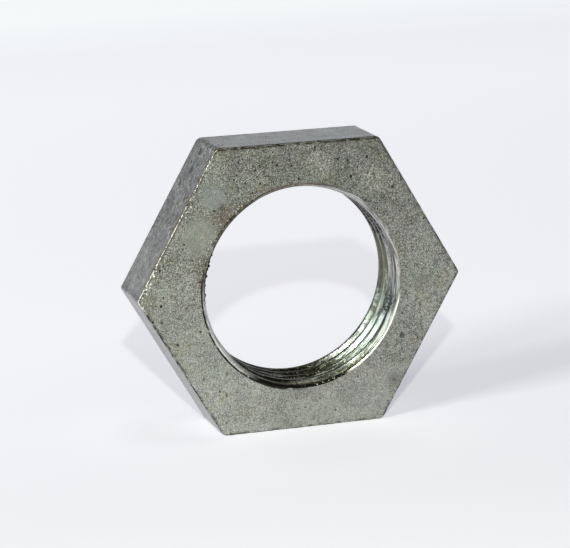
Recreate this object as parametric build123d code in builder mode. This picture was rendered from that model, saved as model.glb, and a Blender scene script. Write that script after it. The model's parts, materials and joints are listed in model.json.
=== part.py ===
"""A hexagon lock nut for a 3/4 inch parallel pipe thread, standing on one flat.

Millimetres, +Z up. The bore runs along Y, the origin is on the floor under the
middle of the hexagon, and the nut is one piece, cut from hexagon bar.
"""

import os

from build123d import *

# The hexagon
across_flats = 36.0
thickness = 8.25
corner_radius = 0.4  # the six long edges, rounded as rolled bar leaves them
face_edge_break = 0.12  # the sharp edges of both faces, dulled by facing

# The bore, at the crests of the thread, which stands a little off centre
crest_radius = 12.25
bore_offset = 0.35  # towards +X

# The countersinks, which lead the pipe into the thread. Width is how far the rim
# stands outside the crests, and depth is how far the cone runs down the bore.
front_countersink_width = 0.4
front_countersink_depth = 1.35
back_countersink_width = 0.5
back_countersink_depth = 0.85

# Worked out from the sizes above
bore_height = across_flats / 2

# Both section planes face -Y, with their local Y axis up
hexagon_plane = Plane(origin=(0, 0, bore_height), x_dir=(1, 0, 0), z_dir=(0, -1, 0))
bore_plane = Plane(origin=(bore_offset, 0, bore_height), x_dir=(1, 0, 0), z_dir=(0, -1, 0))

with BuildPart() as lock_nut:
    # The bar: a hexagon that stands on a flat, with its six corners rounded
    with BuildSketch(hexagon_plane):
        hexagon = RegularPolygon(radius=across_flats / 2, side_count=6, major_radius=False)
        fillet(hexagon.vertices(), corner_radius)
    extrude(amount=thickness / 2, both=True)

    # The front and back faces are square to the bar, with their edges just broken
    end_faces = lock_nut.faces().filter_by(Axis.Y)
    chamfer(end_faces.edges(), face_edge_break)

    # The bore, straight through
    with BuildSketch(bore_plane):
        Circle(crest_radius)
    extrude(amount=thickness / 2, both=True, mode=Mode.SUBTRACT)

    # A countersink at each rim: a long, slow one in front, and a short one behind
    countersinks = (
        (0, front_countersink_width, front_countersink_depth),
        (-1, back_countersink_width, back_countersink_depth),
    )
    for place, width, depth in countersinks:
        end_face = lock_nut.faces().filter_by(Axis.Y).sort_by(Axis.Y)[place]
        rim = end_face.edges().filter_by(GeomType.CIRCLE).sort_by(SortBy.RADIUS)[-1]
        chamfer(rim, width, depth, reference=end_face)

lock_nut.part.label = "lock_nut"

os.makedirs("parts", exist_ok=True)
export_step(lock_nut.part, "parts/lock_nut.step")
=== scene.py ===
"""A hexagon lock nut for pipe, standing on one flat: its form, its finish and the studio round it.

Metres, +Z up. The bore runs along Y, with the front face towards -Y.
"""

import json
from math import cos, pi, radians, sin, sqrt, tan

import bmesh
import bpy
from mathutils import Matrix, Vector


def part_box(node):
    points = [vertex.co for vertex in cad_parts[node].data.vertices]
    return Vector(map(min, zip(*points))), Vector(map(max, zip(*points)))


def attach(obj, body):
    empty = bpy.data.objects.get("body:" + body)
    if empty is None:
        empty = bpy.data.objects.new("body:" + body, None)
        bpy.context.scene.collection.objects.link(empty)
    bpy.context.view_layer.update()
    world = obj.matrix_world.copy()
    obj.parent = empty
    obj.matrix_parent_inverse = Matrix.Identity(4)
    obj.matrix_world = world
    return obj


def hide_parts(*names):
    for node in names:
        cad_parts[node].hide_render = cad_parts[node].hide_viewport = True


MM = 0.001

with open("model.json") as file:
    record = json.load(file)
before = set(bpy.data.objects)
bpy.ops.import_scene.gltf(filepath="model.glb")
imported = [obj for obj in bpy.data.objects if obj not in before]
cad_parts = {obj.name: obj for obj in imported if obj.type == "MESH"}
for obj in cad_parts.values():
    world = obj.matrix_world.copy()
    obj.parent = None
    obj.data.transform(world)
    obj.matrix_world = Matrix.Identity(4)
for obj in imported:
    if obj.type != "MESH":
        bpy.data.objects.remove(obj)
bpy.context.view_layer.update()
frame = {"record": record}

# The nut's own sizes, read from the frame
low, high = (Vector(corner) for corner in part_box("lock_nut"))
THICKNESS = high.y - low.y
ACROSS_FLATS = high.z - low.z
MIDDLE = (low + high) / 2
FRONT = low.y
BACK = high.y
thread_mount = next(m for m in frame["record"]["mounts"] if m["name"] == "thread")
AXIS = Vector(thread_mount["pos_m"])  # a point on the bore's axis
CREST_RADIUS = thread_mount["dims"]["r_mm"] * MM

# Edges
SIDE_CORNER_RADIUS = 0.4 * MM  # the corners at the left and the right
CORNER_RADIUS = 0.85 * MM  # the four others, which are more worn
EDGE_BREAK = 0.12 * MM

# The countersinks: how deep each cone runs down the bore, and how far its rim stands outside the crests
FRONT_DEPTH = 1.35 * MM
FRONT_WIDTH = 0.4 * MM
BACK_DEPTH = THICKNESS - thread_mount["dims"]["length_mm"] * MM - FRONT_DEPTH
BACK_WIDTH = 0.5 * MM

# The thread's form: 14 turns to the inch, with flanks 55 degrees apart
PITCH = 25.4 / 14 * MM
FLANK = radians(27.5)  # between one flank and a plane square to the axis
ROOT_ROUNDING = 0.1373 * PITCH
ROOT_RADIUS = 13.2205 * MM
APEX_RADIUS = ROOT_RADIUS + ROOT_ROUNDING / sin(FLANK) - ROOT_ROUNDING  # where the flanks would meet
STEPS = 160  # round one turn
THREAD_TURNS = 7
THREAD_START = FRONT - 1.25 * PITCH
THREAD_PHASE = radians(180)

# The thread's groove grows shallower over its last millimetre at the front, in small steps
FADE_STEPS = 10
FADE_STEP = 0.1 * MM
FADE = 0.9975  # each step scales the groove by this

# The lip: where a steep cutter has cleaned the front rim, a little off the bore's axis
LIP_RADIUS = 12.82 * MM
LIP_SLOPE = radians(60)  # from the axis
LIP_DEPTH = 0.5 * MM
LIP_OFFSET = 0.18 * MM * Vector((cos(radians(-140)), 0, sin(radians(-140))))
LIP_CENTRE = Vector((AXIS.x, FRONT, AXIS.z)) + LIP_OFFSET
LIP_RAGGED = 0.05 * MM

# The burrs at the left of the front rim: the angle that each stands at, and its size in millimetres
BURRS = (
    (157, 0.15),
    (161, 0.14),
    (163.4, 0.25),
    (165.2, 0.16),
    (169.2, 0.23),
    (174.5, 0.15),
    (180, 0.23),
    (184, 0.14),
)
BURR_REACH = CREST_RADIUS + 0.38 * MM  # from the bore's axis to a burr's middle

CLOSE = 0.01 * MM  # faces this near a plane lie in it
WELD = 0.002 * MM  # points this near each other are one
NEARLY_STRAIGHT = radians(5)
SMOOTH_ANGLE = radians(35)  # edges that turn more than this stay sharp

# The finishes, in the order of the nut's material slots
ENDS, BROKEN_EDGES, FLATS, BORE = range(4)
FACE_LEVEL = -4.1  # just under the front face, in millimetres from the middle


def alone(piece):
    """Make the piece the only one selected, and the active one."""
    bpy.ops.object.select_all(action="DESELECT")
    piece.select_set(True)
    bpy.context.view_layer.objects.active = piece


def named(name):
    """Name the primitive just added."""
    piece = bpy.context.object
    piece.name = name
    piece.data.name = name
    return piece


def settle(piece):
    """Put the piece's place and turn into its mesh, so that its object sits at the origin."""
    alone(piece)
    bpy.ops.object.transform_apply(location=True, rotation=True, scale=True)


def choose(piece, kind, wanted):
    """In edit mode, select only the faces, edges or vertices that are wanted."""
    bpy.ops.mesh.select_mode(type=kind)
    bpy.ops.mesh.select_all(action="DESELECT")
    mesh = bmesh.from_edit_mesh(piece.data)
    elements = {"FACE": mesh.faces, "EDGE": mesh.edges, "VERT": mesh.verts}[kind]
    for element in elements:
        if wanted(element):
            element.select_set(True)
    bmesh.update_edit_mesh(piece.data)


def runs_along_the_bore(edge):
    """Is this one of the long edges of the bar?"""
    start, end = edge.verts
    return abs(end.co.y - start.co.y) > THICKNESS / 2


def is_side_corner(edge):
    """Is this a long edge at the left or the right tip?"""
    return runs_along_the_bore(edge) and abs(edge.verts[0].co.x - MIDDLE.x) > ACROSS_FLATS / 2


def is_other_corner(edge):
    """Is this one of the long edges above or below?"""
    return runs_along_the_bore(edge) and not is_side_corner(edge)


def hexagon_blank():
    """The slice of hexagon bar, standing on a flat, with its corners rounded and its edges broken."""
    bpy.ops.mesh.primitive_cylinder_add(
        vertices=6,
        radius=ACROSS_FLATS / sqrt(3),
        depth=THICKNESS,
        location=MIDDLE,
        rotation=(pi / 2, pi / 6, 0),
    )
    blank = named("lock_nut_steel")
    settle(blank)
    bpy.ops.object.mode_set(mode="EDIT")
    choose(blank, "EDGE", is_side_corner)
    bpy.ops.mesh.bevel(offset=SIDE_CORNER_RADIUS * tan(pi / 6), segments=5)
    choose(blank, "EDGE", is_other_corner)
    bpy.ops.mesh.bevel(offset=CORNER_RADIUS * tan(pi / 6), segments=6)
    choose(blank, "EDGE", lambda edge: not runs_along_the_bore(edge))
    bpy.ops.mesh.bevel(offset=EDGE_BREAK, segments=2)
    bpy.ops.object.mode_set(mode="OBJECT")
    return blank


def boring_tool():
    """A round bar at the thread's crests with a cone at each end: it bores and countersinks at once."""
    start = FRONT + FRONT_DEPTH
    end = BACK - BACK_DEPTH
    bpy.ops.mesh.primitive_cylinder_add(
        vertices=STEPS,
        radius=CREST_RADIUS,
        depth=end - start,
        location=(AXIS.x, (start + end) / 2, AXIS.z),
        rotation=(pi / 2, 0, 0),
    )
    tool = named("boring_tool")
    settle(tool)
    bpy.ops.object.mode_set(mode="EDIT")
    ends = ((-1, start, FRONT_DEPTH, FRONT_WIDTH), (1, end, BACK_DEPTH, BACK_WIDTH))
    for way, cap, depth, width in ends:
        # Draw each cap out to twice the cone's depth, so that the cone runs on past the face
        choose(tool, "FACE", lambda face: abs(face.calc_center_median().y - cap) < CLOSE)
        bpy.ops.mesh.extrude_region_move(TRANSFORM_OT_translate={"value": (0, way * 2 * depth, 0)})
        growth = 1 + 2 * width / CREST_RADIUS
        bpy.ops.transform.resize(value=(growth, 1, growth))
    bpy.ops.object.mode_set(mode="OBJECT")
    return tool


def lip_tool():
    """The steep cone that cleans the front rim. Its own rim is a little ragged."""
    inner = LIP_RADIUS - LIP_DEPTH * tan(LIP_SLOPE)
    outer = LIP_RADIUS + LIP_DEPTH * tan(LIP_SLOPE)
    bpy.ops.mesh.primitive_cone_add(
        vertices=STEPS,
        radius1=outer,
        radius2=inner,
        depth=2 * LIP_DEPTH,
        location=LIP_CENTRE,
        rotation=(-pi / 2, 0, 0),
    )
    tool = named("lip_tool")
    settle(tool)
    bpy.ops.object.mode_set(mode="EDIT")
    choose(tool, "VERT", lambda vertex: vertex.co.y < FRONT)
    bpy.ops.transform.vertex_random(offset=LIP_RAGGED, seed=4)
    bpy.ops.object.mode_set(mode="OBJECT")
    return tool


def thread_tool():
    """The thread's groove as a solid: one rounded tooth swept along the helix, past both faces."""
    base_radius = CREST_RADIUS - 0.25 * MM
    tooth_height = APEX_RADIUS - base_radius
    bpy.ops.mesh.primitive_circle_add(vertices=3, radius=1, location=(0, 0, 0))
    tool = named("thread_tool")
    bpy.ops.object.mode_set(mode="EDIT")
    # Lay the triangle in the plane of the axis, with its apex outwards
    mesh = bmesh.from_edit_mesh(tool.data)
    half_base = tooth_height * tan(FLANK)
    corners = ((APEX_RADIUS, 0), (base_radius, -half_base), (base_radius, half_base))
    for vertex, (out, along) in zip(mesh.verts, corners):
        vertex.co = Vector((out, along, 0))
    bmesh.update_edit_mesh(tool.data)
    choose(tool, "VERT", lambda vertex: vertex.co.x > 0.99 * APEX_RADIUS)
    bpy.ops.mesh.bevel(offset=ROOT_ROUNDING / tan(FLANK), segments=4, affect="VERTICES")
    bpy.ops.object.mode_set(mode="OBJECT")
    alone(tool)
    bpy.ops.object.modifier_add(type="SCREW")
    screw = tool.modifiers[-1]
    screw.axis = "Y"
    screw.screw_offset = PITCH
    screw.iterations = THREAD_TURNS
    screw.steps = screw.render_steps = STEPS
    screw.use_smooth_shade = False
    bpy.ops.object.modifier_apply(modifier=screw.name)
    bpy.ops.object.mode_set(mode="EDIT")
    bpy.ops.mesh.select_mode(type="EDGE")
    bpy.ops.mesh.select_all(action="DESELECT")
    bpy.ops.mesh.select_non_manifold()
    bpy.ops.mesh.fill_holes(sides=0)
    bpy.ops.mesh.select_all(action="SELECT")
    bpy.ops.mesh.normals_make_consistent(inside=False)
    bpy.ops.object.mode_set(mode="OBJECT")
    tool.rotation_euler = (0, THREAD_PHASE, 0)
    tool.location = (AXIS.x, THREAD_START, AXIS.z)
    settle(tool)
    # Let the groove grow shallower at the front
    bpy.ops.object.mode_set(mode="EDIT")
    for step in range(FADE_STEPS):
        choose(tool, "VERT", lambda vertex: vertex.co.y < FRONT + (step + 1) * FADE_STEP)
        bpy.ops.transform.resize(value=(FADE, 1, FADE), center_override=AXIS)
    bpy.ops.object.mode_set(mode="OBJECT")
    return tool


def combine(blank, tool, operation="DIFFERENCE"):
    """Take the tool's shape out of the blank, or add it, and put the tool away."""
    alone(blank)
    bpy.ops.object.modifier_add(type="BOOLEAN")
    boolean = blank.modifiers[-1]
    boolean.operation = operation
    boolean.solver = "EXACT"
    boolean.object = tool
    bpy.ops.object.modifier_apply(modifier=boolean.name)
    bpy.data.objects.remove(tool)


def add_burrs(blank):
    """Grow the small hard burrs that stand into the bore from the left of the front rim."""
    for angle, size in BURRS:
        outwards = Vector((cos(radians(angle)), 0, sin(radians(angle))))
        place = AXIS + outwards * BURR_REACH
        bpy.ops.mesh.primitive_ico_sphere_add(subdivisions=2, radius=size * MM, location=place)
        burr = named("burr")
        burr.location.y = FRONT + (size + 0.05) * MM
        settle(burr)
        bpy.ops.object.mode_set(mode="EDIT")
        bpy.ops.mesh.select_all(action="SELECT")
        bpy.ops.transform.vertex_random(offset=0.3 * size * MM, seed=int(angle))
        bpy.ops.object.mode_set(mode="OBJECT")
        combine(blank, burr, "UNION")


def clean(piece):
    """Weld what the cuts left almost touching, and point every face outwards."""
    alone(piece)
    bpy.ops.object.mode_set(mode="EDIT")
    bpy.ops.mesh.select_mode(type="VERT")
    bpy.ops.mesh.select_all(action="SELECT")
    bpy.ops.mesh.remove_doubles(threshold=WELD)
    bpy.ops.mesh.dissolve_degenerate(threshold=WELD)
    bpy.ops.mesh.normals_make_consistent(inside=False)
    bpy.ops.object.mode_set(mode="OBJECT")


def is_idle(point):
    """Does this point only split a nearly straight edge, with neither neighbour chosen already?"""
    if len(point.link_edges) != 2:
        return False
    first, second = (edge.other_vert(point) for edge in point.link_edges)
    if first.select or second.select:
        return False
    return (point.co - first.co).angle(second.co - point.co, pi) < NEARLY_STRAIGHT


def drop_idle_points(piece):
    """Take out the points that split an edge for nothing, so that no two faces are cut along one line."""
    alone(piece)
    bpy.ops.object.mode_set(mode="EDIT")
    for _ in range(4):  # neighbours go one after the other
        choose(piece, "VERT", is_idle)
        bpy.ops.mesh.dissolve_verts()
    bpy.ops.object.mode_set(mode="OBJECT")


def soften(piece):
    """Shade the curves smooth, and keep the big flats flat."""
    alone(piece)
    bpy.ops.object.shade_smooth_by_angle(angle=SMOOTH_ANGLE)
    bpy.ops.object.modifier_add(type="WEIGHTED_NORMAL")
    weighting = piece.modifiers[-1]
    weighting.keep_sharp = True
    bpy.ops.object.modifier_apply(modifier=weighting.name)


def node(tree, kind, sockets=None, **settings):
    """Add a node with its settings. Each socket takes a value, or the output of another node."""
    added = tree.nodes.new("ShaderNode" + kind)
    for setting, value in settings.items():
        setattr(added, setting, value)
    for socket, value in (sockets or {}).items():
        if isinstance(value, bpy.types.NodeSocket):
            tree.links.new(value, added.inputs[socket])
        else:
            added.inputs[socket].default_value = value
    return added


def maths(tree, operation, *values):
    """Work out one number from others."""
    return node(tree, "Math", dict(enumerate(values)), operation=operation).outputs[0]


def total(tree, *values):
    """Add all of the values up."""
    amount = values[0]
    for value in values[1:]:
        amount = maths(tree, "ADD", amount, value)
    return amount


def centred(tree, noise):
    """The noise counted from its middle, so that it runs both ways from zero."""
    return maths(tree, "SUBTRACT", noise, 0.5)


def inverse(tree, mask):
    """Where the mask isn't."""
    return maths(tree, "SUBTRACT", 1.0, mask)


def both(tree, *masks):
    """Where all of the masks overlap."""
    overlap = masks[0]
    for mask in masks[1:]:
        overlap = maths(tree, "MULTIPLY", overlap, mask)
    return overlap


def either(tree, *masks):
    """The strongest of the masks at each place."""
    strongest = masks[0]
    for mask in masks[1:]:
        strongest = maths(tree, "MAXIMUM", strongest, mask)
    return strongest


def rise(tree, value, start, end, low=0.0, high=1.0):
    """The low value at start, the high one at end, and smooth between them."""
    sockets = {"Value": value, "From Min": start, "From Max": end, "To Min": low, "To Max": high}
    return node(tree, "MapRange", sockets, interpolation_type="SMOOTHSTEP").outputs[0]


def tint(tree, amount, under, over, how="MIX"):
    """Lay one colour over another, as strongly as the amount says."""
    mix = node(tree, "Mix", {0: amount}, data_type="RGBA", blend_type=how)
    for socket, colour in ((mix.inputs[6], under), (mix.inputs[7], over)):
        if isinstance(colour, bpy.types.NodeSocket):
            tree.links.new(colour, socket)
        else:
            socket.default_value = (*colour, 1)
    return mix.outputs[2]


def wash(tree, amount, colour, shade):
    """Multiply the colour by a shade, as strongly as the amount says."""
    return tint(tree, amount, colour, shade, "MULTIPLY")


def ramp(tree, value, stops):
    """Turn a number into a colour that runs through the stops."""
    blend = node(tree, "ValToRGB", {0: value})
    elements = blend.color_ramp.elements
    while len(elements) < len(stops):
        elements.new(0.5)
    for element, (position, colour) in zip(elements, stops):
        element.position = position
        element.color = (*colour, 1)
    return blend.outputs[0]


def grain(tree, place, per_mm, detail=2.0, roughness=0.5, swirl=0.0):
    """Cloudy noise, about 0.3 to 0.7."""
    sockets = {"Vector": place, "Scale": per_mm, "Detail": detail, "Roughness": roughness}
    sockets["Distortion"] = swirl
    return node(tree, "TexNoise", sockets).outputs["Fac"]


def specks(tree, place, per_mm, size, share):
    """Scattered ragged spots of mixed sizes: 1 in the middle of a spot, in only a share of the cells."""
    wander = node(tree, "TexNoise", {"Vector": place, "Scale": per_mm * 3}).outputs["Color"]
    reach = 0.3 / per_mm
    sockets = {"Vector": wander, "Location": (-reach / 2,) * 3, "Scale": (reach,) * 3}
    push = node(tree, "Mapping", sockets).outputs[0]
    moved = node(tree, "VectorMath", {0: place, 1: push}, operation="ADD").outputs[0]
    cells = node(tree, "TexVoronoi", {"Vector": moved, "Scale": per_mm})
    luck = node(tree, "SeparateColor", {"Color": cells.outputs["Color"]}).outputs
    growth = maths(tree, "MULTIPLY_ADD", luck[1], 0.9, 0.45)
    spot = rise(tree, maths(tree, "DIVIDE", cells.outputs["Distance"], growth), size, size * 0.5)
    return both(tree, spot, maths(tree, "LESS_THAN", luck[0], share))


def strokes(tree, place, per_mm, width, share):
    """Short crooked strokes, where a swirled noise passes its middle."""
    swirled = grain(tree, place, per_mm, 3.0, 0.6, 1.2)
    line = rise(tree, maths(tree, "ABSOLUTE", centred(tree, swirled)), width, width * 0.3)
    broken = rise(tree, grain(tree, place, per_mm * 1.3, 1.0), share + 0.05, share - 0.03)
    return both(tree, line, broken)


def in_millimetres(tree):
    """The place on the nut, in millimetres from its middle."""
    where = node(tree, "TexCoord").outputs["Object"]
    sockets = {"Vector": where, "Location": [-c / MM for c in MIDDLE], "Scale": (1 / MM,) * 3}
    return node(tree, "Mapping", sockets).outputs[0]


def stretched(tree, place, stretch, turn=0):
    """The place in a frame turned about the bore and then stretched, for marks that have a direction."""
    turned = node(tree, "Mapping", {"Vector": place, "Rotation": (0, radians(turn), 0)}).outputs[0]
    return node(tree, "Mapping", {"Vector": turned, "Scale": stretch}).outputs[0]


def along(tree, place, direction):
    """How far the place lies in a direction from the middle."""
    sockets = {0: place, 1: direction}
    return node(tree, "VectorMath", sockets, operation="DOT_PRODUCT").outputs["Value"]


def towards(tree, place, angle):
    """How far the place lies towards an angle, counted from +X and up, seen from the front."""
    return along(tree, place, (cos(radians(angle)), 0, sin(radians(angle))))


def side(tree, place, angle, start, end, low=0.0, high=1.0):
    """A mask that changes from low to high, between two distances from the middle, towards an angle."""
    return rise(tree, towards(tree, place, angle), start, end, low, high)


def patch(tree, place, centre, inner, outer):
    """A soft round mask: 1 within the inner radius of its centre, and 0 past the outer one."""
    away = node(tree, "VectorMath", {0: place, 1: centre}, operation="DISTANCE").outputs["Value"]
    return rise(tree, away, outer, inner)


def spot(tree, place, x, z, inner, outer):
    """A soft round mask on the front face, x to the right of its middle and z above it."""
    return patch(tree, place, (x, FACE_LEVEL, z), inner, outer)


def from_the_axis(tree, place):
    """How far the place is from the bore's axis."""
    bore = ((AXIS.x - MIDDLE.x) / MM, 0, (AXIS.z - MIDDLE.z) / MM)
    offset = node(tree, "VectorMath", {0: place, 1: bore}, operation="SUBTRACT").outputs[0]
    flat = node(tree, "VectorMath", {0: offset, 1: (1, 0, 1)}, operation="MULTIPLY").outputs[0]
    return node(tree, "VectorMath", {0: flat}, operation="LENGTH").outputs["Value"]


def inside_the_flats(tree, place):
    """How far the place is inside the nearest of the six flats."""
    across = [maths(tree, "ABSOLUTE", towards(tree, place, angle)) for angle in (30, 90, 150)]
    return maths(tree, "SUBTRACT", ACROSS_FLATS / 2 / MM, either(tree, *across))


def steel(name):
    """Start a steel finish: its tree and its shader."""
    material = bpy.data.materials.new(name)
    material.use_nodes = True
    tree = material.node_tree
    shader = tree.nodes["Principled BSDF"]
    shader.inputs["Metallic"].default_value = 1.0
    return material, tree, shader


def relief(tree, shader, height, depth):
    """Let the surface rise with the height, by up to a depth in millimetres."""
    bump = node(tree, "Bump", {"Height": height, "Strength": 1.0, "Distance": depth * MM})
    tree.links.new(bump.outputs[0], shader.inputs["Normal"])


def faced_steel():
    """The two ends: matt grey with a little olive, grainy and pitted, with rust beside the bore, painted
    shade towards the top and painted glints.
    """
    material, tree, shader = steel("faced_steel")
    place = in_millimetres(tree)
    out = from_the_axis(tree, place)
    inside = inside_the_flats(tree, place)

    # The smooth places: a band across the upper left arm, the foot, and a little of the lower left
    band = either(
        tree,
        spot(tree, place, -10.8, 12.0, 0.8, 2.8),
        spot(tree, place, -12.6, 7.4, 1.4, 3.6),
    )
    foot = rise(tree, along(tree, place, (0.25, 0, -0.97)), 11.0, 16.0)
    lower_left = rise(tree, along(tree, place, (-0.5, 0, -0.86)), 2.0, 12.0, 0.0, 0.42)
    smooth = either(tree, band, maths(tree, "MULTIPLY", foot, 0.62), lower_left)
    rough = inverse(tree, both(tree, smooth, 0.72))

    # The steel's own grain, clouds a few millimetres across, and painted shade that darkens the face
    # towards the top
    fine = grain(tree, place, 7.5, 2.0, 0.8, 0.6)
    clouds = grain(tree, place, 0.28, 4.0, 0.6)
    speckle = both(tree, centred(tree, fine), rough, 3.4)
    drift = both(tree, centred(tree, clouds), 0.55)
    # painted shade: the face grows darker towards the top
    shade = rise(tree, along(tree, place, (-0.25, 0, 0.97)), -14.0, 16.0, 0.6, 0.41)
    colour = ramp(tree, total(tree, speckle, drift, shade), (
        (0.05, (0.085, 0.087, 0.074)),
        (0.35, (0.225, 0.231, 0.206)),
        (0.6, (0.37, 0.379, 0.343)),
        (0.95, (0.58, 0.59, 0.55)),
    ))
    left_arm = side(tree, place, 180, 0.0, 11.0)
    colour = wash(tree, left_arm, colour, (1.19, 1.19, 1.2))

    # Yellowish oil stains and greenish ones, fewer at the foot, and a bluer film over the smooth band
    worn = inverse(tree, both(tree, foot, 0.8))
    stains = rise(tree, grain(tree, place, 0.6, 5.0, 0.7), 0.5, 0.62, 0.0, 0.6)
    colour = wash(tree, both(tree, stains, worn), colour, (0.92, 0.88, 0.72))
    turned = stretched(tree, place, (1, 1, 1), 70)
    green = rise(tree, grain(tree, turned, 0.35, 3.0, 0.6), 0.5, 0.62, 0.0, 0.7)
    colour = wash(tree, both(tree, green, worn), colour, (0.95, 1.0, 0.96))
    film = spot(tree, place, -10.8, 12.4, 0.8, 2.6)
    colour = wash(tree, both(tree, film, 0.8), colour, (0.93, 1.0, 1.03))

    # Crooked dark marks, finer scuffs and light flecks
    crooked = either(tree, strokes(tree, place, 0.8, 0.028, 0.5), strokes(tree, place, 1.5, 0.036, 0.53))
    marks = both(tree, crooked, rough, 0.7)
    colour = tint(tree, marks, colour, (0.06, 0.06, 0.05))
    upper = rise(tree, along(tree, place, (-0.4, 0, 0.9)), -6.0, 8.0, 0.25, 0.7)
    scuffs = both(tree, strokes(tree, place, 2.6, 0.06, 0.55), rough, upper)
    colour = tint(tree, scuffs, colour, (0.06, 0.062, 0.05))
    flecks = both(tree, specks(tree, place, 3.6, 0.34, 0.1), rough, upper)
    colour = tint(tree, flecks, colour, (0.6, 0.6, 0.54))

    # Pits, which crowd at the top left
    upper_left = rise(tree, along(tree, place, (-0.5, 0, 0.86)), -8.0, 4.0, 0.4, 1.0)
    high = rise(tree, upper, 0.25, 0.6)
    clouded = rise(tree, clouds, 0.5, 0.56)
    crowd = spot(tree, place, -6.0, 14.6, 2.0, 6.0)
    pits = either(
        tree,
        both(tree, specks(tree, place, 0.6, 0.16, 0.3), upper_left),
        both(tree, specks(tree, place, 1.0, 0.17, 0.3), rise(tree, upper, 0.25, 0.6, 0.7, 1.0)),
        both(tree, specks(tree, place, 1.9, 0.24, 0.35), high, clouded),
        both(tree, specks(tree, place, 1.8, 0.3, 0.45), crowd),
    )
    grains = both(tree, specks(tree, place, 2.4, 0.27, 0.22), rise(tree, upper, 0.25, 0.7, 0.4, 1.0))
    holes = both(tree, either(tree, pits, grains), rise(tree, rough, 0.25, 0.55), 0.95)
    colour = tint(tree, holes, colour, (0.02, 0.02, 0.016))

    # Light scratches in two places high up
    scratched = either(
        tree,
        spot(tree, place, 9.4, 12.6, 0.8, 2.4),
        spot(tree, place, 2.7, 15.2, 0.8, 2.2),
    )
    scratches = both(tree, strokes(tree, place, 1.7, 0.03, 0.6), scratched)
    colour = tint(tree, scratches, colour, (0.6, 0.6, 0.55))

    # Painted glints: bright points, mostly to the right and beside the upper left edge
    left = side(tree, place, 150, 15.8, 17.0)
    lowest = side(tree, place, 90, 5.5, 2.5)
    clump = spot(tree, place, -14.2, 11.0, 1.0, 2.0)
    left_edge = both(tree, left, rise(tree, inside, 1.0, 0.3), either(tree, lowest, clump, 0.15))
    painted_glint_places = either(tree, side(tree, place, 10, 10.0, 16.0, 0.0, 0.6), 0.25)
    painted_glints = either(
        tree,
        both(tree, specks(tree, place, 2.6, 0.3, 0.1), painted_glint_places),
        both(tree, specks(tree, place, 3.2, 0.42, 0.6), left_edge),
    )
    colour = tint(tree, painted_glints, colour, (1.0, 1.0, 0.93))

    # Rust and painted golden glints round the left of the bore, and thin rust along its top
    rim = both(tree, rise(tree, out, 14.4, 12.9), side(tree, place, 148, 8.5, 11.5))
    top_rim = both(tree, rise(tree, out, 13.2, 12.8), side(tree, place, 98, 11.5, 12.6))
    rust_patch = spot(tree, place, -9.6, 9.5, 0.5, 2.2)
    rust = either(
        tree,
        both(tree, top_rim, rise(tree, grain(tree, place, 2.0, 2.0), 0.42, 0.5)),
        both(tree, rim, rise(tree, grain(tree, place, 1.4, 3.0, 0.6), 0.45, 0.62)),
        both(tree, rust_patch, rise(tree, grain(tree, place, 1.7), 0.4, 0.52)),
        spot(tree, place, -11.9, 4.2, 0.3, 1.0),
    )
    grainy_rust = both(tree, rust, rise(tree, fine, 0.4, 0.6, 0.86, 0.5))
    colour = tint(tree, grainy_rust, colour, (0.115, 0.078, 0.05))
    # painted golden glints along the left of the rim
    painted_golden_glints = both(tree, rim, specks(tree, place, 3.8, 0.4, 0.4))
    colour = tint(tree, painted_golden_glints, colour, (0.9, 0.86, 0.66))

    # A dark line of dirt just outside the lip, and dirt held along the edges
    lip_centre = [(c - m) / MM for c, m in zip(LIP_CENTRE, MIDDLE)]
    lip_edge = LIP_RADIUS / MM
    lip_dirt = both(
        tree,
        patch(tree, place, lip_centre, lip_edge + 0.14, lip_edge + 0.3),
        either(
            tree,
            side(tree, place, -145, 6.0, 10.0),
            side(tree, place, 112, 8.6, 11.4, 0.0, 0.8),
        ),
        rise(tree, grain(tree, place, 1.5, 2.0), 0.32, 0.42),
    )
    colour = tint(tree, lip_dirt, colour, (0.02, 0.018, 0.014))
    in_patches = rise(tree, grain(tree, place, 1.1, 2.0), 0.44, 0.56)
    held = both(tree, rise(tree, inside, 0.5, 0.1), in_patches, 0.75)
    top = side(tree, place, 90, 17.5, 17.8)
    level = grain(tree, stretched(tree, place, (1.1, 1, 2.0)), 1.0, 3.0)
    dashes = both(tree, top, rise(tree, level, 0.46, 0.51))
    colour = tint(tree, either(tree, held, dashes), colour, (0.035, 0.03, 0.022))

    # A few smudges, the largest ones low on the right
    smudges = either(
        tree,
        both(tree, spot(tree, place, -9.85, 10.7, 0.15, 0.55), 0.55),
        both(tree, spot(tree, place, 13.1, -7.45, 0.2, 0.5), rise(tree, fine, 0.42, 0.5)),
        both(tree, spot(tree, place, 12.0, -12.9, 0.3, 1.4), rise(tree, fine, 0.52, 0.62)),
        both(tree, spot(tree, place, 15.6, -1.2, 0.4, 1.8), rise(tree, fine, 0.54, 0.62)),
    )
    colour = tint(tree, both(tree, smudges, 0.9), colour, (0.05, 0.05, 0.045))

    tree.links.new(colour, shader.inputs["Base Color"])
    tree.links.new(rise(tree, fine, 0.3, 0.7, 0.58, 0.44), shader.inputs["Roughness"])
    relief(tree, shader, maths(tree, "SUBTRACT", fine, pits), 0.02)
    return material


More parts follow.
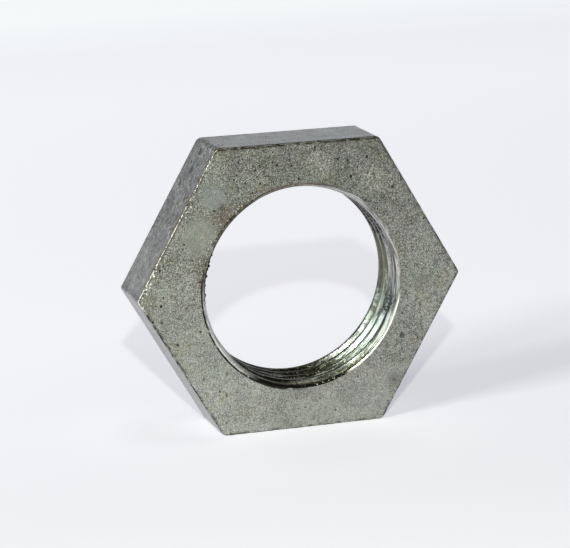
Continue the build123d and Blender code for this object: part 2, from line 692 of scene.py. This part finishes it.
def worn_edge():
    """The broken edges of the ends: dark, partly with dirt and partly as a painted dark reflection, grey
    where rubbed, rusty on the left, with painted glints there.
    """
    material, tree, shader = steel("worn_edge")
    place = in_millimetres(tree)
    left = side(tree, place, 150, 16.5, 17.5)
    rubbed = rise(tree, grain(tree, place, 1.3, 3.0, 0.65), 0.42, 0.54)
    # dark, partly dirt and partly a painted dark reflection; grey where rubbed
    colour = tint(tree, rubbed, (0.02, 0.02, 0.016), (0.3, 0.3, 0.26))
    rusty = both(tree, left, rise(tree, grain(tree, place, 0.8, 2.0), 0.46, 0.54), 0.7)
    colour = tint(tree, rusty, colour, (0.26, 0.17, 0.11))
    lower = side(tree, place, 90, 14.0, 3.0, 0.5, 0.42)
    # painted glints along the left edge, where the lamp's highlight falls
    above = maths(tree, "SUBTRACT", grain(tree, place, 2.2, 3.0, 0.75), lower)
    painted_glints = both(tree, rise(tree, above, 0.02, 0.1), left)
    colour = tint(tree, painted_glints, colour, (1.0, 0.97, 0.85))
    tree.links.new(colour, shader.inputs["Base Color"])
    shader.inputs["Roughness"].default_value = 0.28
    return material


def bar_steel():
    """The six flats: smoother and bluer than the ends, with their grain drawn along the bar."""
    material, tree, shader = steel("bar_steel")
    place = in_millimetres(tree)
    fine = grain(tree, place, 5.5, 3.0, 0.7)
    clouds = grain(tree, place, 0.45, 3.0, 0.6)
    drawn = grain(tree, stretched(tree, place, (1.5, 0.12, 1.5)), 1.0, 3.0, 0.6)
    tone = total(tree, clouds, both(tree, drawn, 0.4), both(tree, fine, 2.3))
    colour = ramp(tree, maths(tree, "SUBTRACT", tone, 1.36), (
        (0.15, (0.2, 0.2, 0.2)),
        (0.5, (0.43, 0.437, 0.435)),
        (0.85, (0.6, 0.608, 0.605)),
    ))

    # Each flat has its own tone, painted as light and shade: the top and the upper left are brightened,
    # and the lower left is darkened and streaky
    left = side(tree, place, 150, 16.5, 17.8)
    lower_left = side(tree, place, 210, 16.5, 17.8)
    top = side(tree, place, 90, 17.3, 17.9)
    colour = wash(tree, left, colour, (1.12, 1.105, 1.07))
    streaks = grain(tree, stretched(tree, place, (0.1, 1.6, 1.6), -60), 1.0, 3.0, 0.6)
    # painted shade on the lower left flat, together with its streaks
    streaks_and_painted_shade = tint(tree, rise(tree, streaks, 0.32, 0.6), (0.42, 0.42, 0.43), (0.8, 0.795, 0.8))
    colour = wash(tree, lower_left, colour, streaks_and_painted_shade)
    colour = wash(tree, top, colour, (1.34, 1.36, 1.34))

    # Pits and dark grains, most of them high on the upper left flat, with three deep ones there
    high = side(tree, place, 90, 3.0, 10.0, 0.25, 1.0)
    deep = either(
        tree,
        patch(tree, place, (-11.1, 0.6, 16.9), 0.35, 0.6),
        patch(tree, place, (-12.3, 0.4, 14.8), 0.35, 0.65),
        patch(tree, place, (-13.3, 2.0, 12.9), 0.25, 0.5),
    )
    pits = either(
        tree,
        both(tree, deep, rise(tree, fine, 0.38, 0.45, 0.5, 1.0)),
        both(tree, specks(tree, place, 1.5, 0.32, 0.4), left, high),
        both(tree, specks(tree, place, 2.6, 0.34, 0.3), left, high),
        specks(tree, place, 1.1, 0.2, 0.2),
    )
    colour = tint(tree, both(tree, pits, 0.95), colour, (0.02, 0.02, 0.02))

    # The upper left flat is mottled and dusty
    mottle = ramp(tree, grain(tree, place, 1.3, 4.0, 0.7), (
        (0.36, (0.6, 0.6, 0.6)),
        (0.66, (1.2, 1.2, 1.2)),
    ))
    colour = wash(tree, left, colour, mottle)
    dust = both(tree, left, high, rise(tree, grain(tree, place, 2.2, 4.0, 0.85), 0.47, 0.54), 0.75)
    colour = tint(tree, dust, colour, (0.1, 0.1, 0.1))

    # Dirt held next to both ends, and brown stains next to the front one
    far = maths(tree, "ABSOLUTE", along(tree, place, (0, 1, 0)))
    dirty = either(tree, both(tree, either(tree, top, left), 0.9), 0.35)
    in_patches = rise(tree, grain(tree, place, 0.9, 5.0, 0.7), 0.48, 0.56)
    held = both(tree, rise(tree, far, 3.4, 3.9), in_patches, dirty)
    colour = tint(tree, held, colour, (0.045, 0.04, 0.035))
    near_front = rise(tree, along(tree, place, (0, -1, 0)), 2.6, 4.1)
    brown = both(tree, left, near_front, rise(tree, grain(tree, place, 0.7, 3.0), 0.46, 0.58), 0.6)
    colour = tint(tree, brown, colour, (0.24, 0.17, 0.135))
    tree.links.new(colour, shader.inputs["Base Color"])
    tree.links.new(rise(tree, fine, 0.3, 0.7, 0.36, 0.28), shader.inputs["Roughness"])
    relief(tree, shader, maths(tree, "SUBTRACT", fine, pits), 0.012)
    return material


def cut_steel():
    """The bore: bright from the tap, with fine lines round it, old oil low down, a rusty left rim,
    painted shade in the thread's roots and a painted highlight with painted glints on the lip.
    """
    material, tree, shader = steel("cut_steel")
    place = in_millimetres(tree)
    depth = along(tree, place, (0, 1, 0))
    marks = grain(tree, stretched(tree, place, (0.12, 2.6, 0.12)), 1.0, 4.0, 0.75)
    torn = grain(tree, place, 3.6, 3.0, 0.7)
    dull = side(tree, place, -42, 11.0, 8.0, 0.2, 1.0)
    inner = both(tree, rise(tree, depth, -3.0, 0.5, 0.6, 2.2), dull)
    lines = grain(tree, stretched(tree, place, (0.22, 4.6, 0.22)), 1.0, 3.0, 0.7)
    scored = total(tree, centred(tree, marks), centred(tree, lines))
    ragged = both(tree, centred(tree, torn), inner)
    colour = ramp(tree, total(tree, both(tree, scored, 3.0), 0.5, ragged), (
        (0.1, (0.09, 0.095, 0.09)),
        (0.45, (0.31, 0.33, 0.32)),
        (0.8, (0.66, 0.69, 0.68)),
    ))

    # Old oil: low down, high on the right, in one patch low on the right, and thicker towards the back
    low_side = side(tree, place, -99, 8.4, 11.2)
    upper_right = both(tree, side(tree, place, 48, 10.6, 11.8), rise(tree, depth, -2.6, -1.6))
    past_cone = rise(tree, depth, -3.0, -2.6, 0.3, 1.0)
    low_right = patch(tree, place, (11.9, -1.6, -3.6), 1.1, 2.3)
    patchy = rise(tree, grain(tree, place, 1.4, 3.0, 0.7), 0.46, 0.58, 0.1, 0.85)
    oil = either(
        tree,
        both(tree, low_side, rise(tree, lines, 0.5, 0.62, 1.0, 0.55), past_cone),
        both(tree, upper_right, rise(tree, torn, 0.4, 0.6, 1.0, 0.6)),
        both(tree, low_right, rise(tree, torn, 0.42, 0.6, 1.0, 0.45)),
        both(tree, rise(tree, depth, 0.0, 3.5), patchy),
    )
    colour = tint(tree, oil, colour, (0.02, 0.018, 0.01))

    # A thin film of oil on the right, and a darker groove before it
    right_side = both(tree, side(tree, place, 20, 10.4, 11.6), rise(tree, depth, -0.6, 0.3))
    thin_oil = both(tree, right_side, side(tree, place, 48, 11.2, 10.4))
    thin_oil = both(tree, thin_oil, rise(tree, total(tree, lines, torn), 0.85, 1.15, 1.0, 0.3))
    colour = tint(tree, thin_oil, colour, (0.19, 0.19, 0.155))
    groove = both(tree, rise(tree, depth, -2.7, -2.3), rise(tree, depth, -1.0, -1.5))
    groove = both(tree, groove, side(tree, place, -4, 11.4, 12.3), 0.5)
    colour = tint(tree, groove, colour, (0.09, 0.09, 0.08))

    # Tones: mint at the lower right; painted shade above it and on the cone there, which trims the lamp's
    # highlight, with the cone made warmer too; olive on the right and lilac at the upper right
    mint = side(tree, place, -44, 9.5, 11.5)
    colour = wash(tree, mint, colour, (0.9, 0.98, 1.0))
    # painted shade above the lamp's highlight
    painted_shade_above = side(tree, place, -22, 10.8, 12.2)
    colour = wash(tree, painted_shade_above, colour, (0.78, 0.78, 0.78))
    cone = both(tree, rise(tree, depth, -3.96, -3.88), rise(tree, depth, -2.6, -2.9))
    colour = wash(tree, both(tree, mint, cone), colour, (0.8, 0.77, 0.75))
    right_cone = both(tree, side(tree, place, -8, 10.6, 12.2), cone)
    colour = wash(tree, right_cone, colour, (0.95, 0.93, 0.9))
    olive = both(tree, side(tree, place, -5, 11.0, 12.0), rise(tree, depth, -1.2, 0.0))
    colour = wash(tree, olive, colour, (0.72, 0.72, 0.63))
    clean_lip = both(tree, side(tree, place, -135, 11.6, 12.2), rise(tree, depth, -3.75, -3.92))
    colour = tint(tree, both(tree, clean_lip, 0.85), colour, (0.8, 0.79, 0.75))
    lilac = side(tree, place, 38, 8.5, 11.0)
    lilac = both(tree, lilac, rise(tree, depth, -2.4, -2.8))
    colour = wash(tree, lilac, colour, (0.93, 0.88, 0.87))

    # Grit and dirt low down, painted golden glints there, and painted shade in the thread's roots
    grit = both(tree, low_side, rise(tree, grain(tree, place, 5.5, 3.0, 0.8), 0.5, 0.42), 0.85)
    colour = tint(tree, grit, colour, (0.012, 0.011, 0.008))
    brown_cone = both(tree, side(tree, place, -108, 10.5, 12.0), cone, 0.8)
    browns = tint(tree, rise(tree, torn, 0.4, 0.55), (0.1, 0.085, 0.06), (0.6, 0.56, 0.47))
    colour = tint(tree, brown_cone, colour, browns)
    flecked = side(tree, place, -80, 10.6, 12.2)
    # painted golden glints low on the right
    painted_golden_glints = both(tree, flecked, rise(tree, grain(tree, place, 5.2, 2.0, 0.7), 0.6, 0.68), 0.8)
    colour = tint(tree, painted_golden_glints, colour, (0.62, 0.6, 0.42))
    out = from_the_axis(tree, place)
    # painted shade deep in the thread's roots
    painted_root_shade = both(tree, rise(tree, out, 12.62, 12.9), rise(tree, depth, -3.2, -2.8), 0.92)
    colour = tint(tree, painted_root_shade, colour, (0.02, 0.02, 0.016))

    # The lip: black at the bottom, and a painted highlight with painted golden sparkles at the lower
    # right
    black_lip = both(tree, side(tree, place, -90, 9.5, 11.5), rise(tree, depth, -3.8, -3.94))
    colour = tint(tree, black_lip, colour, (0.012, 0.012, 0.009))
    painted_lip_highlight = both(tree, side(tree, place, -36, 11.2, 12.2), rise(tree, depth, -3.9, -3.96))
    colour = tint(tree, painted_lip_highlight, colour, (1.0, 0.98, 0.88))
    painted_sparkle = both(
        tree,
        specks(tree, place, 4.4, 0.45, 0.4),
        side(tree, place, -52, 9.6, 11.6),
        rise(tree, depth, -3.6, -3.9),
    )
    colour = tint(tree, painted_sparkle, colour, (1.0, 0.92, 0.66))

    # The top rim is brown, and the left one is rusty and as matt as the face
    top_rim = both(tree, side(tree, place, 96, 11.2, 12.4), rise(tree, depth, -3.3, -3.9))
    top_rim = both(tree, top_rim, rise(tree, torn, 0.4, 0.55, 0.9, 0.5))
    colour = tint(tree, top_rim, colour, (0.2, 0.12, 0.085))
    left_rim = both(tree, side(tree, place, 150, 9.5, 11.5), rise(tree, depth, -2.6, -3.2))
    crust = tint(tree, rise(tree, torn, 0.35, 0.65), (0.06, 0.05, 0.038), (0.34, 0.33, 0.27))
    colour = tint(tree, left_rim, colour, crust)
    black_edge = both(tree, left_rim, rise(tree, out, 12.8, 12.66))
    colour = tint(tree, black_edge, colour, (0.02, 0.018, 0.014))
    tree.links.new(colour, shader.inputs["Base Color"])
    tree.links.new(rise(tree, torn, 0.3, 0.7, 0.32, 0.5), shader.inputs["Roughness"])
    relief(tree, shader, maths(tree, "ADD", marks, both(tree, torn, dull)), 0.02)
    return material


def finish(piece):
    """Give each face of the nut the finish of its place."""
    for material in (faced_steel(), worn_edge(), bar_steel(), cut_steel()):
        piece.data.materials.append(material)
    for polygon in piece.data.polygons:
        centre = polygon.center
        out = Vector((centre.x - AXIS.x, 0, centre.z - AXIS.z)).length
        if abs(polygon.normal.y) > 0.99 and min(centre.y - FRONT, BACK - centre.y) < CLOSE:
            polygon.material_index = ENDS
        elif out < ROOT_RADIUS + 1 * MM:
            polygon.material_index = BORE
        elif abs(polygon.normal.y) > 0.2:
            polygon.material_index = BROKEN_EDGES
        else:
            polygon.material_index = FLATS


nut = hexagon_blank()
combine(nut, boring_tool())
combine(nut, thread_tool())
combine(nut, lip_tool())
clean(nut)
add_burrs(nut)
clean(nut)
drop_idle_points(nut)
soften(nut)
finish(nut)
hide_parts("lock_nut")
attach(nut, "root")

# Floor: white paper with a faint glow that falls off towards the viewer, and a painted shadow where the
# glow dips beside the nut and in front of it
FLOOR_SIZE = 6
bpy.ops.mesh.primitive_plane_add(size=FLOOR_SIZE, location=(0, 0, 0))
floor = named("floor")
paper = bpy.data.materials.new("white_paper")
paper.use_nodes = True
tree = paper.node_tree
sheet = tree.nodes["Principled BSDF"]
sheet.inputs["Base Color"].default_value = (0.8, 0.81, 0.84, 1)
sheet.inputs["Roughness"].default_value = 0.9
sheet.inputs["Specular IOR Level"].default_value = 0.1
where = node(tree, "TexCoord").outputs["Object"]
depth = node(tree, "SeparateXYZ", {0: where}).outputs["Y"]
glow = ramp(tree, maths(tree, "MULTIPLY_ADD", depth, 2.0, 0.1), (
    (0.04, (0.36, 0.355, 0.4)),
    (0.2, (0.5, 0.495, 0.535)),
    (0.58, (0.6, 0.6, 0.635)),
    (0.72, (0.6, 0.605, 0.64)),
    (0.85, (0.66, 0.69, 0.69)),
))
tree.links.new(glow, sheet.inputs["Emission Color"])
rays = node(tree, "LightPath").outputs
seen = either(tree, rays["Is Camera Ray"], rays["Is Glossy Ray"], rays["Is Transmission Ray"])
# painted shadow: the floor's glow is dimmed beside the nut and in front of it
painted_shadow_beside = patch(tree, where, (-0.0155, 0.001, 0), 0.002, 0.01)
before = patch(tree, where, (0, -0.011, 0), 0.004, 0.014)
painted_shadow = total(tree, both(tree, painted_shadow_beside, 0.19), both(tree, before, 0.07))
tree.links.new(both(tree, seen, inverse(tree, painted_shadow)), sheet.inputs["Emission Strength"])
floor.data.materials.append(paper)

# Camera: in front of the nut, a little to the left and above, with a long lens
AZIMUTH = radians(-17.53)
ELEVATION = radians(13.284)
ROLL = radians(-1.25)
DISTANCE = 333.5 * MM
AIM_RIGHT = -0.7106 * MM  # the aim, counted from the nut's middle
AIM_UP = 0.6887 * MM
LENS = 169.57895  # in millimetres, on a sensor 36 mm wide
back = Vector((sin(AZIMUTH) * cos(ELEVATION), -cos(AZIMUTH) * cos(ELEVATION), sin(ELEVATION)))
right = Vector((cos(AZIMUTH), sin(AZIMUTH), 0))
up = back.cross(right)
camera_data = bpy.data.cameras.new("camera")
camera_data.lens = LENS
camera_data.sensor_width = 36
camera_data.clip_start = 0.01
camera = bpy.data.objects.new("camera", camera_data)
bpy.context.scene.collection.objects.link(camera)
aim = MIDDLE + right * AIM_RIGHT + up * AIM_UP
turn = Matrix((right, up, back)).transposed() @ Matrix.Rotation(ROLL, 3, "Z")
camera.matrix_world = Matrix.Translation(aim + back * DISTANCE) @ turn.to_4x4()
bpy.context.scene.camera = camera


# Light
def lamp(name, place, size, energy, colour):
    """Hang a flat lamp that faces the nut."""
    data = bpy.data.lights.new(name, "AREA")
    data.shape = "RECTANGLE"
    data.size = size[0]
    data.size_y = size[1]
    data.energy = energy
    data.color = colour
    hung = bpy.data.objects.new(name, data)
    bpy.context.scene.collection.objects.link(hung)
    hung.location = place
    hung.rotation_euler = (hung.location - MIDDLE).to_track_quat("Z", "Y").to_euler()


lamp("main_lamp", (-0.102, -0.332, 0.1664), (0.008, 0.008), 0.73, (0.97, 1.0, 0.8))
lamp("left_light", (-1.48, -0.6, 0.42), (0.5, 0.3), 24.0, (1.0, 1.0, 1.0))

# The room round it: pale at the sides and below, and dark overhead
world = bpy.data.worlds.new("studio")
world.use_nodes = True
tree = world.node_tree
height = node(tree, "SeparateXYZ", {0: node(tree, "TexCoord").outputs["Generated"]}).outputs["Z"]
room = ramp(tree, height, (
    (0.0, (0.57, 0.58, 0.6)),
    (0.2, (0.588, 0.6, 0.618)),
    (0.3, (0.49, 0.5, 0.515)),
    (0.42, (0.196, 0.2, 0.206)),
    (0.6, (0.049, 0.05, 0.0515)),
    (1.0, (0.03, 0.03, 0.03)),
))
tree.links.new(room, tree.nodes["Background"].inputs["Color"])
bpy.context.scene.world = world
bpy.context.scene.view_settings.view_transform = "Standard"
